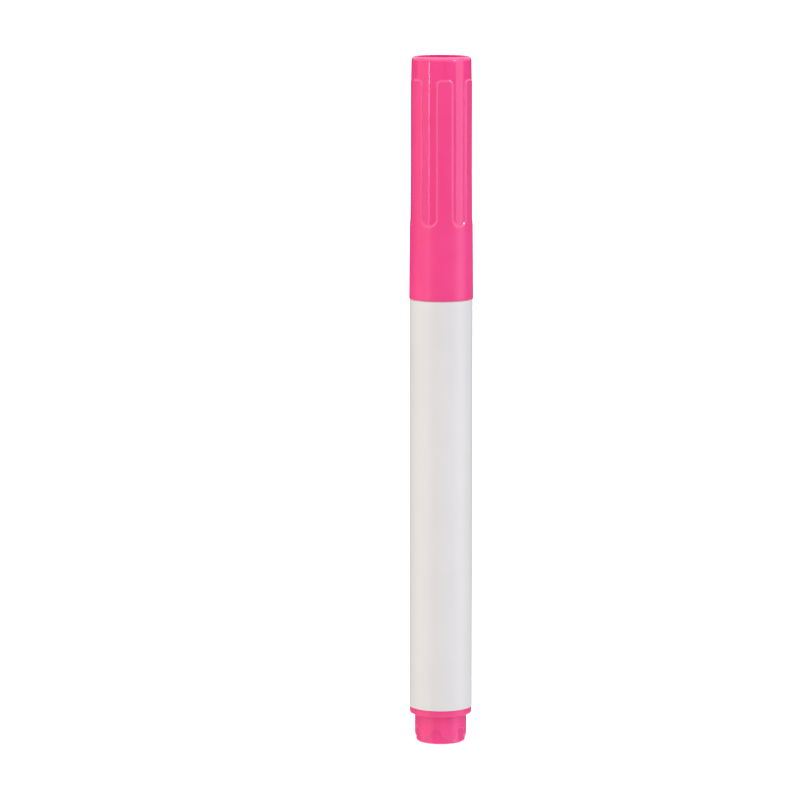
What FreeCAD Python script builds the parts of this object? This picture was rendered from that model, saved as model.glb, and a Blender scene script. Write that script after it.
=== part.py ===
"""Fabric marking pen: a capped felt-tip pen for marking cloth, standing on its end plug with the tip up.

Units are millimetres and degrees. The origin is the centre of the end plug's flat face and +Z runs to the
cap's top. Turns about Z are counted from the front (-Y), positive towards +X.
"""
import FreeCAD, Part

import math
import os

from FreeCAD import Vector

os.makedirs("parts", exist_ok=True)

# Heights of the main joins.
PEN_LENGTH = 138.0
FLANGE_Z = 5.75
BARREL_REAR_Z = 7.1
SHOULDER_Z = 89.75
MOUTH_GAP = 0.05
NECK_TOP_Z = 103.0

# Barrel: a tube with a stepped neck for the cap.
BARREL_R = 6.3
BARREL_BORE_R = 5.3
NECK_R = 5.12
NECK_BORE_R = 4.3
BORE_TAPER_LENGTH = 1.0
BORE_TOP_Z = 87.4
EDGE_ROUND = 0.15
CENTRING_RIB_COUNT = 6
CENTRING_RIB_WIDTH = 0.8
CENTRING_RIB_START_Z = 22.0
CENTRING_RIB_R = 4.26
NECK_BEAD_Z = 93.5
NECK_BEAD_R = 5.2
NECK_BEAD_WIDTH = 1.4

# Cap: a tube, tapered up to its waist, with raised ribs between shallow flutes.
CAP_MOUTH_R = 6.4
CAP_WAIST_R = 6.2
CAP_WAIST_Z = 115.0
CAP_SKIN_TOP_R = 6.19
CAP_BASE_LOW_R = 6.08
CAP_BASE_HIGH_R = 6.02
CAP_NECK_TOP_R = 5.95
CAP_BORE_R = 5.25
CAP_GROOVE_R = 5.32
CAP_UPPER_BORE_R = 5.05
CAP_TOP_BORE_R = 4.95
CAP_STEP_Z = 105.0
CAP_LIP_ROUND = 0.95
CAP_MOUTH_CHAMFER = 0.2
RIB_TOP_Z = 133.5
RIB_CORNER_R = 0.85
FLUTE_END_Z = 104.6
FLUTE_COUNT = 6
FLUTE_WIDTH = 3.2
FLUTE_PHASE = 35.9

# Webs inside the cap: they hold the inner seal and leave air paths between them.
WEB_COUNT = 4
WEB_PHASE = 45.0
WEB_WIDTH = 0.9
WEB_LOW_Z = 106.0
WEB_STOP_HEIGHT = 1.4
WEB_STOP_R = 2.6

# Inner seal: a cup whose lip closes on the nib holder's cone.
SEAL_OUTER_R = 4.32
SEAL_GRIP = 0.02
SEAL_WALL = 0.62
SEAL_LIP_Z = 108.0
SEAL_TOP_Z = 125.2
SEAL_TOP_WALL = 0.9
SEAL_ROUND = 0.9

# Nib holder: a cone pressed in the neck.
HOLDER_LOW_Z = 95.0
HOLDER_SPIGOT_R = 4.28
HOLDER_BEAD_R = 4.33
HOLDER_BEADS_Z = (97.5, 100.5)
HOLDER_BEAD_WIDTH = 0.9
HOLDER_CAVITY_R = 3.4
HOLDER_CAVITY_TOP_Z = 102.0
HOLDER_COLLAR_R = 5.02
HOLDER_COLLAR_TOP_Z = 104.2
HOLDER_CONE_R = 4.55
HOLDER_NOSE_R = 2.35
HOLDER_NOSE_Z = 113.5
HOLDER_TOP_Z = 116.0
AIR_SLOT_COUNT = 3
AIR_SLOT_WIDTH = 0.5
AIR_SLOT_R = 1.8

# Nib: a bonded fibre rod with a rounded bullet tip.
NIB_R = 1.5
NIB_TIP_R = 0.5
NIB_TIP_ROUND = 0.45
NIB_TAIL_Z = 87.0
NIB_TAIL_R = 1.0
NIB_TAIL_TAPER = 2.0
NIB_CONE_Z = 117.0
NIB_TIP_Z = 120.5

# Ink reservoir: fibre rod, film wrap and breather tube.
RESERVOIR_LOW_Z = 8.0
CORE_R = 4.1
FILM_WALL = 0.08
TUBE_R = 0.6
TUBE_BORE_R = 0.4
TUBE_AXIS_R = 3.45
TUBE_END_GAP = 0.8
TUBE_CLEARANCE = 0.03

# End plug: flange, tail with arches and hollow shank.
FLANGE_R = 6.225
FLANGE_ROUND = 0.3
TAIL_R = 5.2
TAIL_FLOOR_R = 4.9
TAIL_FOOT_ROUND = 0.45
TAIL_CURVE_Z = 1.7
TAIL_CURVE_ROUND = 1.2
TONGUE_LOW_Z = 0.8
TONGUE_LOW_R = 4.98
TONGUE_CORNER_R = 1.45
ARCH_COUNT = 6
ARCH_PHASE = -9.8
ARCH_WIDTH = 2.2
ARCH_TOP_Z = 3.1
SHANK_R = 5.28
SHANK_BEAD_R = 5.33
SHANK_BEADS_Z = (9.6, 13.0)
SHANK_BEAD_WIDTH = 1.2
SHANK_TOP_Z = 16.5
SHANK_BORE_R = 4.4
PLUG_BORE_R = 3.9
PLUG_FLOOR_Z = 1.6
DIMPLE_R = 1.0
DIMPLE_DEPTH = 0.3

AXIS_BASE = Vector(0, 0, 0)
UP = Vector(0, 0, 1)
CUT_MARGIN = 1.5


def outline(corners):
    """Closed wire in the XZ plane through (x, z) or (x, z, corner radius) points, rounded where asked."""
    points = [Vector(corner[0], 0, corner[1]) for corner in corners]
    radii = [corner[2] if len(corner) > 2 else 0.0 for corner in corners]
    starts, ends, edges = [], [], []
    for index, point in enumerate(points):
        back = (points[index - 1] - point).normalize()
        ahead = (points[(index + 1) % len(points)] - point).normalize()
        half_angle = back.getAngle(ahead) / 2
        reach = radii[index] / math.tan(half_angle)
        starts.append(point + back * reach)
        ends.append(point + ahead * reach)
        if radii[index]:
            middle = (back + ahead).normalize()
            depth = radii[index] / math.sin(half_angle) - radii[index]
            edges.append(Part.Arc(starts[-1], point + middle * depth, ends[-1]).toShape())
        else:
            edges.append(None)
    loop = []
    for index in range(len(points)):
        if edges[index]:
            loop.append(edges[index])
        following = starts[(index + 1) % len(points)]
        if ends[index].distanceToPoint(following) > 1e-6:
            loop.append(Part.LineSegment(ends[index], following).toShape())
    return Part.Wire(loop)


def turned(corners):
    """Solid of revolution about Z from a closed profile of (radius, height, corner radius) points."""
    return Part.Face(outline(corners)).revolve(AXIS_BASE, UP, 360)


def forward_prism(corners):
    """Prism from the axis out towards the front, with the given outline in width and height."""
    return Part.Face(outline(corners)).extrude(Vector(0, -2 * BARREL_R, 0))


def around(shape, count, phase):
    """Copies of a shape at the front, turned about Z to evenly spaced places."""
    copies = []
    for index in range(count):
        copy = shape.copy()
        copy.rotate(AXIS_BASE, UP, phase + 360 * index / count)
        copies.append(copy)
    return copies


def radial_bar(inner_r, outer_r, width, low_z, high_z):
    """Upright rectangular bar at the front, between two radii."""
    return Part.makeBox(width, outer_r - inner_r, high_z - low_z, Vector(-width / 2, -outer_r, low_z))


def beads(surface_r, bead_r, width, heights):
    """Profile points of rounded rings that stand out of a turned surface, from low to high."""
    crest = width / 4
    points = []
    for height in heights:
        points.append((surface_r, height - width / 2))
        points.append((bead_r, height - crest / 2, crest / 2))
        points.append((bead_r, height + crest / 2, crest / 2))
        points.append((surface_r, height + width / 2))
    return points


def barrel():
    """White tube: open rear, stepped neck with a snap bead, and ribs inside that centre the reservoir."""
    neck_bead = beads(NECK_R, NECK_BEAD_R, NECK_BEAD_WIDTH, (NECK_BEAD_Z,))
    profile = [
        (BARREL_BORE_R, BARREL_REAR_Z, EDGE_ROUND),
        (BARREL_R, BARREL_REAR_Z, EDGE_ROUND),
        (BARREL_R, SHOULDER_Z, EDGE_ROUND),
        (NECK_R, SHOULDER_Z),
        *neck_bead,
        (NECK_R, NECK_TOP_Z, EDGE_ROUND),
        (NECK_BORE_R, NECK_TOP_Z),
        (NECK_BORE_R, BORE_TOP_Z + BORE_TAPER_LENGTH),
        (BARREL_BORE_R, BORE_TOP_Z),
    ]
    shape = turned(profile)
    rib_outer_r = (BARREL_BORE_R + BARREL_R) / 2
    rib = radial_bar(CENTRING_RIB_R, rib_outer_r, CENTRING_RIB_WIDTH, CENTRING_RIB_START_Z, BORE_TOP_Z)
    return shape.fuse(around(rib, CENTRING_RIB_COUNT, 0)).removeSplitter()


def flutes():
    """Cutters for the flutes: round-ended slots as deep as the polished surface, flared at the rib tops."""
    half = FLUTE_WIDTH / 2
    flare = half + RIB_CORNER_R + CUT_MARGIN / 2
    slot = forward_prism([
        (-flare, RIB_TOP_Z + CUT_MARGIN),
        (-flare, RIB_TOP_Z),
        (-half, RIB_TOP_Z, RIB_CORNER_R),
        (-half, FLUTE_END_Z, half),
        (half, FLUTE_END_Z, half),
        (half, RIB_TOP_Z, RIB_CORNER_R),
        (flare, RIB_TOP_Z),
        (flare, RIB_TOP_Z + CUT_MARGIN),
    ])
    outside = turned([
        (CAP_BASE_LOW_R, FLUTE_END_Z - CUT_MARGIN),
        (CAP_MOUTH_R + CUT_MARGIN, FLUTE_END_Z - CUT_MARGIN),
        (CAP_MOUTH_R + CUT_MARGIN, RIB_TOP_Z),
        (CAP_BASE_HIGH_R, RIB_TOP_Z),
    ])
    return around(slot.common(outside), FLUTE_COUNT, FLUTE_PHASE)


def cap_webs():
    """Upright webs in the cap with a stop at the top of each, so that the inner seal can't be pushed out."""
    web_outer_r = (CAP_UPPER_BORE_R + CAP_BASE_HIGH_R) / 2
    stop_top_z = SEAL_TOP_Z + WEB_STOP_HEIGHT
    web_r = SEAL_OUTER_R - SEAL_GRIP
    web = radial_bar(web_r, web_outer_r, WEB_WIDTH, WEB_LOW_Z, SEAL_TOP_Z)
    stop = radial_bar(WEB_STOP_R, web_outer_r, WEB_WIDTH, SEAL_TOP_Z, stop_top_z)
    return around(web.fuse(stop), WEB_COUNT, WEB_PHASE)


def cap_shell():
    """Push-on cap, open at the top, with a snap groove, flutes and inner webs."""
    mouth_z = SHOULDER_Z + MOUTH_GAP
    groove = beads(CAP_BORE_R, CAP_GROOVE_R, NECK_BEAD_WIDTH, (NECK_BEAD_Z,))
    profile = [
        (CAP_BORE_R + CAP_MOUTH_CHAMFER, mouth_z),
        (CAP_MOUTH_R, mouth_z, EDGE_ROUND),
        (CAP_WAIST_R, CAP_WAIST_Z),
        (CAP_SKIN_TOP_R, RIB_TOP_Z, EDGE_ROUND),
        (CAP_BASE_HIGH_R, RIB_TOP_Z),
        (CAP_NECK_TOP_R, PEN_LENGTH, CAP_LIP_ROUND),
        (CAP_TOP_BORE_R, PEN_LENGTH),
        (CAP_UPPER_BORE_R, CAP_STEP_Z),
        (CAP_BORE_R, CAP_STEP_Z - (CAP_BORE_R - CAP_UPPER_BORE_R)),
        *reversed(groove),
        (CAP_BORE_R, mouth_z + CAP_MOUTH_CHAMFER),
    ]
    shape = turned(profile).cut(flutes())
    return shape.fuse(cap_webs()).removeSplitter()


def cap_inner_seal():
    """Soft cup between the webs. Its lip closes on the nib holder's cone when the cap is home."""
    inner_r = SEAL_OUTER_R - SEAL_WALL
    return turned([
        (inner_r, SEAL_LIP_Z, EDGE_ROUND),
        (SEAL_OUTER_R, SEAL_LIP_Z, EDGE_ROUND),
        (SEAL_OUTER_R, SEAL_TOP_Z, SEAL_ROUND),
        (0, SEAL_TOP_Z),
        (0, SEAL_TOP_Z - SEAL_TOP_WALL),
        (inner_r, SEAL_TOP_Z - SEAL_TOP_WALL, SEAL_ROUND),
    ])


def nib_holder():
    """Front cone: a spigot pressed in the neck, a collar on the neck's end, and a nose round the nib."""
    spigot_beads = beads(HOLDER_SPIGOT_R, HOLDER_BEAD_R, HOLDER_BEAD_WIDTH, HOLDER_BEADS_Z)
    shape = turned([
        (HOLDER_CAVITY_R, HOLDER_LOW_Z),
        (HOLDER_SPIGOT_R, HOLDER_LOW_Z, EDGE_ROUND),
        *spigot_beads,
        (HOLDER_SPIGOT_R, NECK_TOP_Z),
        (HOLDER_COLLAR_R, NECK_TOP_Z),
        (HOLDER_COLLAR_R, HOLDER_COLLAR_TOP_Z, EDGE_ROUND),
        (HOLDER_CONE_R, HOLDER_COLLAR_TOP_Z),
        (HOLDER_NOSE_R, HOLDER_NOSE_Z, HOLDER_NOSE_R),
        (HOLDER_NOSE_R, HOLDER_TOP_Z, EDGE_ROUND),
        (NIB_R, HOLDER_TOP_Z, EDGE_ROUND),
        (NIB_R, HOLDER_CAVITY_TOP_Z),
        (HOLDER_CAVITY_R, HOLDER_CAVITY_TOP_Z),
    ])
    slot = radial_bar(0, AIR_SLOT_R, AIR_SLOT_WIDTH, HOLDER_LOW_Z, HOLDER_TOP_Z + CUT_MARGIN)
    return shape.cut(around(slot, AIR_SLOT_COUNT, 0))


def nib():
    """Fibre rod: tapered tail in the reservoir, straight shaft, cone and rounded tip."""
    return turned([
        (0, NIB_TAIL_Z),
        (NIB_TAIL_R, NIB_TAIL_Z),
        (NIB_R, NIB_TAIL_Z + NIB_TAIL_TAPER),
        (NIB_R, NIB_CONE_Z, NIB_R),
        (NIB_TIP_R, NIB_TIP_Z, NIB_TIP_ROUND),
        (0, NIB_TIP_Z),
    ])


def tube_centre():
    """Centre of the breather tube's lower end."""
    return Vector(0, TUBE_AXIS_R, RESERVOIR_LOW_Z + TUBE_END_GAP)


def tube_length():
    """Length of the breather tube, a little short of the fibre at both ends."""
    return HOLDER_LOW_Z - RESERVOIR_LOW_Z - 2 * TUBE_END_GAP


def reservoir_core():
    """Fibre rod with a hole for the nib's tail and a groove for the breather tube."""
    length = HOLDER_LOW_Z - RESERVOIR_LOW_Z
    rod = Part.makeCylinder(CORE_R, length, Vector(0, 0, RESERVOIR_LOW_Z))
    nib_hole = turned([
        (0, NIB_TAIL_Z),
        (NIB_TAIL_R, NIB_TAIL_Z),
        (NIB_R, NIB_TAIL_Z + NIB_TAIL_TAPER),
        (NIB_R, HOLDER_LOW_Z + CUT_MARGIN),
        (0, HOLDER_LOW_Z + CUT_MARGIN),
    ])
    groove_r = TUBE_R + TUBE_CLEARANCE
    groove = Part.makeCylinder(groove_r, length, Vector(0, TUBE_AXIS_R, RESERVOIR_LOW_Z))
    mouth = Part.makeBox(2 * groove_r, CORE_R, length, Vector(-groove_r, TUBE_AXIS_R, RESERVOIR_LOW_Z))
    return rod.cut([nib_hole, groove.fuse(mouth)])


def reservoir_film():
    """Thin clear sleeve round the fibre rod."""
    length = HOLDER_LOW_Z - RESERVOIR_LOW_Z
    base = Vector(0, 0, RESERVOIR_LOW_Z)
    outer = Part.makeCylinder(CORE_R + FILM_WALL, length, base)
    return outer.cut(Part.makeCylinder(CORE_R, length, base))


def breather_tube():
    """Thin tube beside the fibre that lets air in as the ink leaves."""
    outer = Part.makeCylinder(TUBE_R, tube_length(), tube_centre())
    return outer.cut(Part.makeCylinder(TUBE_BORE_R, tube_length(), tube_centre()))


def arches():
    """Cutters for the arches round the tail, open at the foot and round at the top."""
    half = ARCH_WIDTH / 2
    flare = half + TONGUE_CORNER_R + CUT_MARGIN / 2
    arch = forward_prism([
        (-half, ARCH_TOP_Z, half),
        (-half, TONGUE_LOW_Z, TONGUE_CORNER_R),
        (-flare, TONGUE_LOW_Z),
        (-flare, -CUT_MARGIN),
        (flare, -CUT_MARGIN),
        (flare, TONGUE_LOW_Z),
        (half, TONGUE_LOW_Z, TONGUE_CORNER_R),
        (half, ARCH_TOP_Z, half),
    ])
    outside = turned([
        (TAIL_FLOOR_R, -CUT_MARGIN),
        (TAIL_R + CUT_MARGIN, -CUT_MARGIN),
        (TAIL_R + CUT_MARGIN, ARCH_TOP_Z + CUT_MARGIN),
        (TAIL_FLOOR_R, ARCH_TOP_Z + CUT_MARGIN),
    ])
    return around(arch.common(outside), ARCH_COUNT, ARCH_PHASE)


def end_plug():
    """Plug: foot, tail with arches, flange under the barrel, and a hollow shank pressed in the bore."""
    shank_beads = beads(SHANK_R, SHANK_BEAD_R, SHANK_BEAD_WIDTH, SHANK_BEADS_Z)
    shape = turned([
        (0, 0),
        (TAIL_FLOOR_R, 0, TAIL_FOOT_ROUND),
        (TAIL_FLOOR_R, TONGUE_LOW_Z),
        (TONGUE_LOW_R, TONGUE_LOW_Z),
        (TAIL_R, TAIL_CURVE_Z, TAIL_CURVE_ROUND),
        (TAIL_R, FLANGE_Z),
        (FLANGE_R, FLANGE_Z, FLANGE_ROUND),
        (FLANGE_R, BARREL_REAR_Z, EDGE_ROUND),
        (SHANK_R, BARREL_REAR_Z),
        *shank_beads,
        (SHANK_R, SHANK_TOP_Z, EDGE_ROUND),
        (SHANK_BORE_R, SHANK_TOP_Z, EDGE_ROUND),
        (SHANK_BORE_R, RESERVOIR_LOW_Z),
        (PLUG_BORE_R, RESERVOIR_LOW_Z),
        (PLUG_BORE_R, PLUG_FLOOR_Z, EDGE_ROUND),
        (0, PLUG_FLOOR_Z),
    ])
    dimple = Part.makeCylinder(DIMPLE_R, DIMPLE_DEPTH)
    return shape.cut([*arches(), dimple])


PIECES = {
    "barrel": barrel,
    "cap_shell": cap_shell,
    "cap_inner_seal": cap_inner_seal,
    "nib_holder": nib_holder,
    "nib": nib,
    "reservoir_core": reservoir_core,
    "reservoir_film": reservoir_film,
    "breather_tube": breather_tube,
    "end_plug": end_plug,
}

for name, make in PIECES.items():
    piece = make()
    box = piece.BoundBox
    print(f"{name}: {len(piece.Solids)} solid, valid {piece.isValid()}, {piece.Volume:.1f} mm3,"
          f" z {box.ZMin:.2f} to {box.ZMax:.2f}, width {box.XLength:.2f}")
    piece.exportStep(f"parts/{name}.step")
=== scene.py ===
"""Fabric marking pen: the looks of every piece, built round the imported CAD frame.

All lengths are metres in the frame's own axes: the pen stands on its end plug at the origin, tip up, and
turns about Z are counted from the front (-Y), positive towards +X.
"""
import logging
import math
from collections.abc import Sequence
from dataclasses import dataclass, replace
from enum import Enum

import bpy
import numpy as np
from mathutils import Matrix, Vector


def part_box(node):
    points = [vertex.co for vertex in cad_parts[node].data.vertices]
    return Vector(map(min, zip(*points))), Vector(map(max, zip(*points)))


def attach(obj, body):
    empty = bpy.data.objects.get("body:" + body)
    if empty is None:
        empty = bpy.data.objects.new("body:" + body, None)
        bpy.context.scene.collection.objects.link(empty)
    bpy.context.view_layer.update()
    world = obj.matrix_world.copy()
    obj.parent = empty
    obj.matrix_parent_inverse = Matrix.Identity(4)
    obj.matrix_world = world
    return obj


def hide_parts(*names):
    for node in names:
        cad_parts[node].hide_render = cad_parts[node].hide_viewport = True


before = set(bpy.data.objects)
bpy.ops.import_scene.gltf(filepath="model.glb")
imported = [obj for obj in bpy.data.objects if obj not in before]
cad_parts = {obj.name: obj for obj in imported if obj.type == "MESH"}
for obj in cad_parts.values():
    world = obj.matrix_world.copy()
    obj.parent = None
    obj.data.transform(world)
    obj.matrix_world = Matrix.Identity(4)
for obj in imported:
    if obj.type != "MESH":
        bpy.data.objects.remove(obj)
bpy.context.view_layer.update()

LOG = logging.getLogger("fabric_pen")
MM = 0.001
SHARP_ANGLE = math.radians(38)

# Lengths and shares below these count as nothing when a mesh is built.
SAME_SHARE = 1e-6
SAME_SPOT = 1e-7
ON_AXIS = 1e-8
LEAST_R = 1e-9
LEAST_ROW_GAP = 0.01 * MM

# Points round each row of a piece with sunk slots.
RELIEF_COLUMNS = 384
# Half the height over which the ink stain at the holder's nose builds up.
STAIN_REACH = 0.6 * MM
# Half of a bead's flat crest, as a share of its width.
BEAD_FLAT_SHARE = 1 / 8
# One over 4/27, the most that s * s * (1 - s) reaches for s from 0 to 1.
MASK_SCALE = 27 / 4

Colour = tuple[float, float, float]


class Body(Enum):
    """The two rigid bodies of the pen."""

    PEN = "pen"
    CAP = "cap"


class Slot(Enum):
    """The record's material slots."""

    BARREL = "barrel_plastic"
    CAP = "cap_plastic"
    SEAL = "seal_plastic"
    NIB = "nib_fibre"
    RESERVOIR = "reservoir_fibre"
    FILM = "film"
    TUBE = "tube_plastic"


class Opening(Enum):
    """Which way a row of slots is open."""

    UP = 1.0
    DOWN = -1.0


def low_z(node: str) -> float:
    """Height of a CAD node's lowest point.

    Args:
        node: The CAD node's name.

    Returns:
        The height in metres.
    """
    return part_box(node)[0].z


def high_z(node: str) -> float:
    """Height of a CAD node's highest point.

    Args:
        node: The CAD node's name.

    Returns:
        The height in metres.
    """
    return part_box(node)[1].z


def outer_r(node: str) -> float:
    """Largest radius of a round CAD node about Z.

    Args:
        node: The CAD node's name.

    Returns:
        The radius in metres.
    """
    low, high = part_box(node)
    return (high.x - low.x) / 2


# ---------------------------------------------------------------- node trees


class Graph:
    """A node tree under construction, with short calls for the nodes used most."""

    def __init__(self, tree: bpy.types.NodeTree) -> None:
        """Wraps a tree.

        Args:
            tree: The shader or geometry node tree to add to.
        """
        self.tree = tree

    def add(self, kind: str, **settings: object) -> bpy.types.Node:
        """Adds a node.

        Args:
            kind: The node's type name.
            settings: Properties to set on the node.

        Returns:
            The new node.
        """
        node = self.tree.nodes.new(kind)
        for name, value in settings.items():
            setattr(node, name, value)
        return node

    def feed(self, socket: bpy.types.NodeSocket, value: object) -> None:
        """Links a socket to another one, or sets its own value.

        Args:
            socket: The input socket.
            value: An output socket, or a plain value.
        """
        if isinstance(value, bpy.types.NodeSocket):
            self.tree.links.new(value, socket)
        else:
            socket.default_value = value

    def math(self, operation: str, *values: object, clamp: bool = False) -> bpy.types.NodeSocket:
        """Adds a Math node.

        Args:
            operation: The operation's name.
            values: Its inputs, as sockets or numbers.
            clamp: Whether the result is kept from 0 to 1.

        Returns:
            The result's socket.
        """
        node = self.add("ShaderNodeMath", operation=operation, use_clamp=clamp)
        for socket, value in zip(node.inputs, values):
            self.feed(socket, value)
        return node.outputs[0]

    def remap(self, value: object, low: object, high: object, to_low: object, to_high: object,
              smooth: bool = False, clamp: bool = True) -> bpy.types.NodeSocket:
        """Adds a Map Range node.

        Args:
            value: What is mapped.
            low: The start of the range.
            high: The end of the range.
            to_low: The result at the start.
            to_high: The result at the end.
            smooth: Whether the change eases in and out.
            clamp: Whether the result stays between the two results.

        Returns:
            The result's socket.
        """
        kind = "SMOOTHSTEP" if smooth else "LINEAR"
        node = self.add("ShaderNodeMapRange", interpolation_type=kind, clamp=clamp)
        for socket, given in zip(node.inputs, (value, low, high, to_low, to_high)):
            self.feed(socket, given)
        return node.outputs["Result"]

    def noise(self, vector: object, scale: object, detail: float = 2.0, roughness: float = 0.5
              ) -> bpy.types.NodeSocket:
        """Adds a Noise Texture.

        Args:
            vector: Where it is read.
            scale: Features per metre.
            detail: Number of finer octaves.
            roughness: Strength of the finer octaves.

        Returns:
            The noise value's socket, from 0 to 1.
        """
        node = self.add("ShaderNodeTexNoise")
        self.feed(node.inputs["Vector"], vector)
        self.feed(node.inputs["Scale"], scale)
        node.inputs["Detail"].default_value = detail
        node.inputs["Roughness"].default_value = roughness
        return node.outputs[0]

    def stretched(self, vector: object, scale: Sequence[float]) -> bpy.types.NodeSocket:
        """Adds a Mapping node that stretches a pattern.

        Args:
            vector: The coordinates.
            scale: The factor on each axis.

        Returns:
            The scaled coordinates' socket.
        """
        node = self.add("ShaderNodeMapping")
        self.feed(node.inputs["Vector"], vector)
        node.inputs["Scale"].default_value = scale
        return node.outputs[0]

    def layered(self, first: object, second: object, share: float) -> bpy.types.NodeSocket:
        """Adds two values by weight.

        Args:
            first: One value.
            second: The other value.
            share: The first one's weight. The second one has what is left of 1.

        Returns:
            The sum's socket.
        """
        parts = (self.math("MULTIPLY", first, share), self.math("MULTIPLY", second, 1.0 - share))
        return self.math("ADD", *parts)

    def blend(self, factor: object, first: object, second: object) -> bpy.types.NodeSocket:
        """Mixes two colours.

        Args:
            factor: The share of the second colour.
            first: The first colour.
            second: The second colour.

        Returns:
            The mixed colour's socket.
        """
        node = self.add("ShaderNodeMix", data_type="RGBA")
        self.feed(node.inputs[0], factor)
        for socket, given in zip(node.inputs[6:8], (first, second)):
            value = (*given, 1.0) if isinstance(given, tuple) and len(given) == 3 else given
            self.feed(socket, value)
        return node.outputs[2]

    def attribute(self, name: str) -> bpy.types.NodeSocket:
        """Reads a value that the relief trees left on the points.

        Args:
            name: The attribute's name.

        Returns:
            The value's socket.
        """
        return self.add("ShaderNodeAttribute", attribute_name=name).outputs["Fac"]

    def emboss(self, shader: bpy.types.Node, height: bpy.types.NodeSocket, depth: float) -> None:
        """Gives a shader a fine relief through a Bump node.

        Args:
            shader: The Principled node.
            height: The relief, from 0 to 1.
            depth: Its depth in metres.
        """
        bump = self.add("ShaderNodeBump")
        bump.inputs["Distance"].default_value = depth
        self.feed(bump.inputs["Height"], height)
        self.feed(shader.inputs["Normal"], bump.outputs[0])


class GroupGraph(Graph):
    """A node group under construction, with named inputs and outputs."""

    def __init__(self, name: str, kind: str) -> None:
        """Starts an empty group.

        Args:
            name: The group's name.
            kind: ShaderNodeTree or GeometryNodeTree.
        """
        super().__init__(bpy.data.node_groups.new(name, kind))
        self.source = self.add("NodeGroupInput")
        self.sink = self.add("NodeGroupOutput")

    def input(self, name: str, kind: str = "NodeSocketFloat") -> bpy.types.NodeSocket:
        """Adds a named input.

        Args:
            name: The input's name.
            kind: The socket's type name.

        Returns:
            The socket that brings it into the group.
        """
        self.tree.interface.new_socket(name, in_out="INPUT", socket_type=kind)
        return self.source.outputs[name]

    def output(self, name: str, value: bpy.types.NodeSocket, kind: str = "NodeSocketFloat") -> None:
        """Adds a named output.

        Args:
            name: The output's name.
            value: The socket that feeds it.
            kind: The socket's type name.
        """
        self.tree.interface.new_socket(name, in_out="OUTPUT", socket_type=kind)
        self.tree.links.new(value, self.sink.inputs[name])


# ---------------------------------------------------------------- shared surface effects


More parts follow.
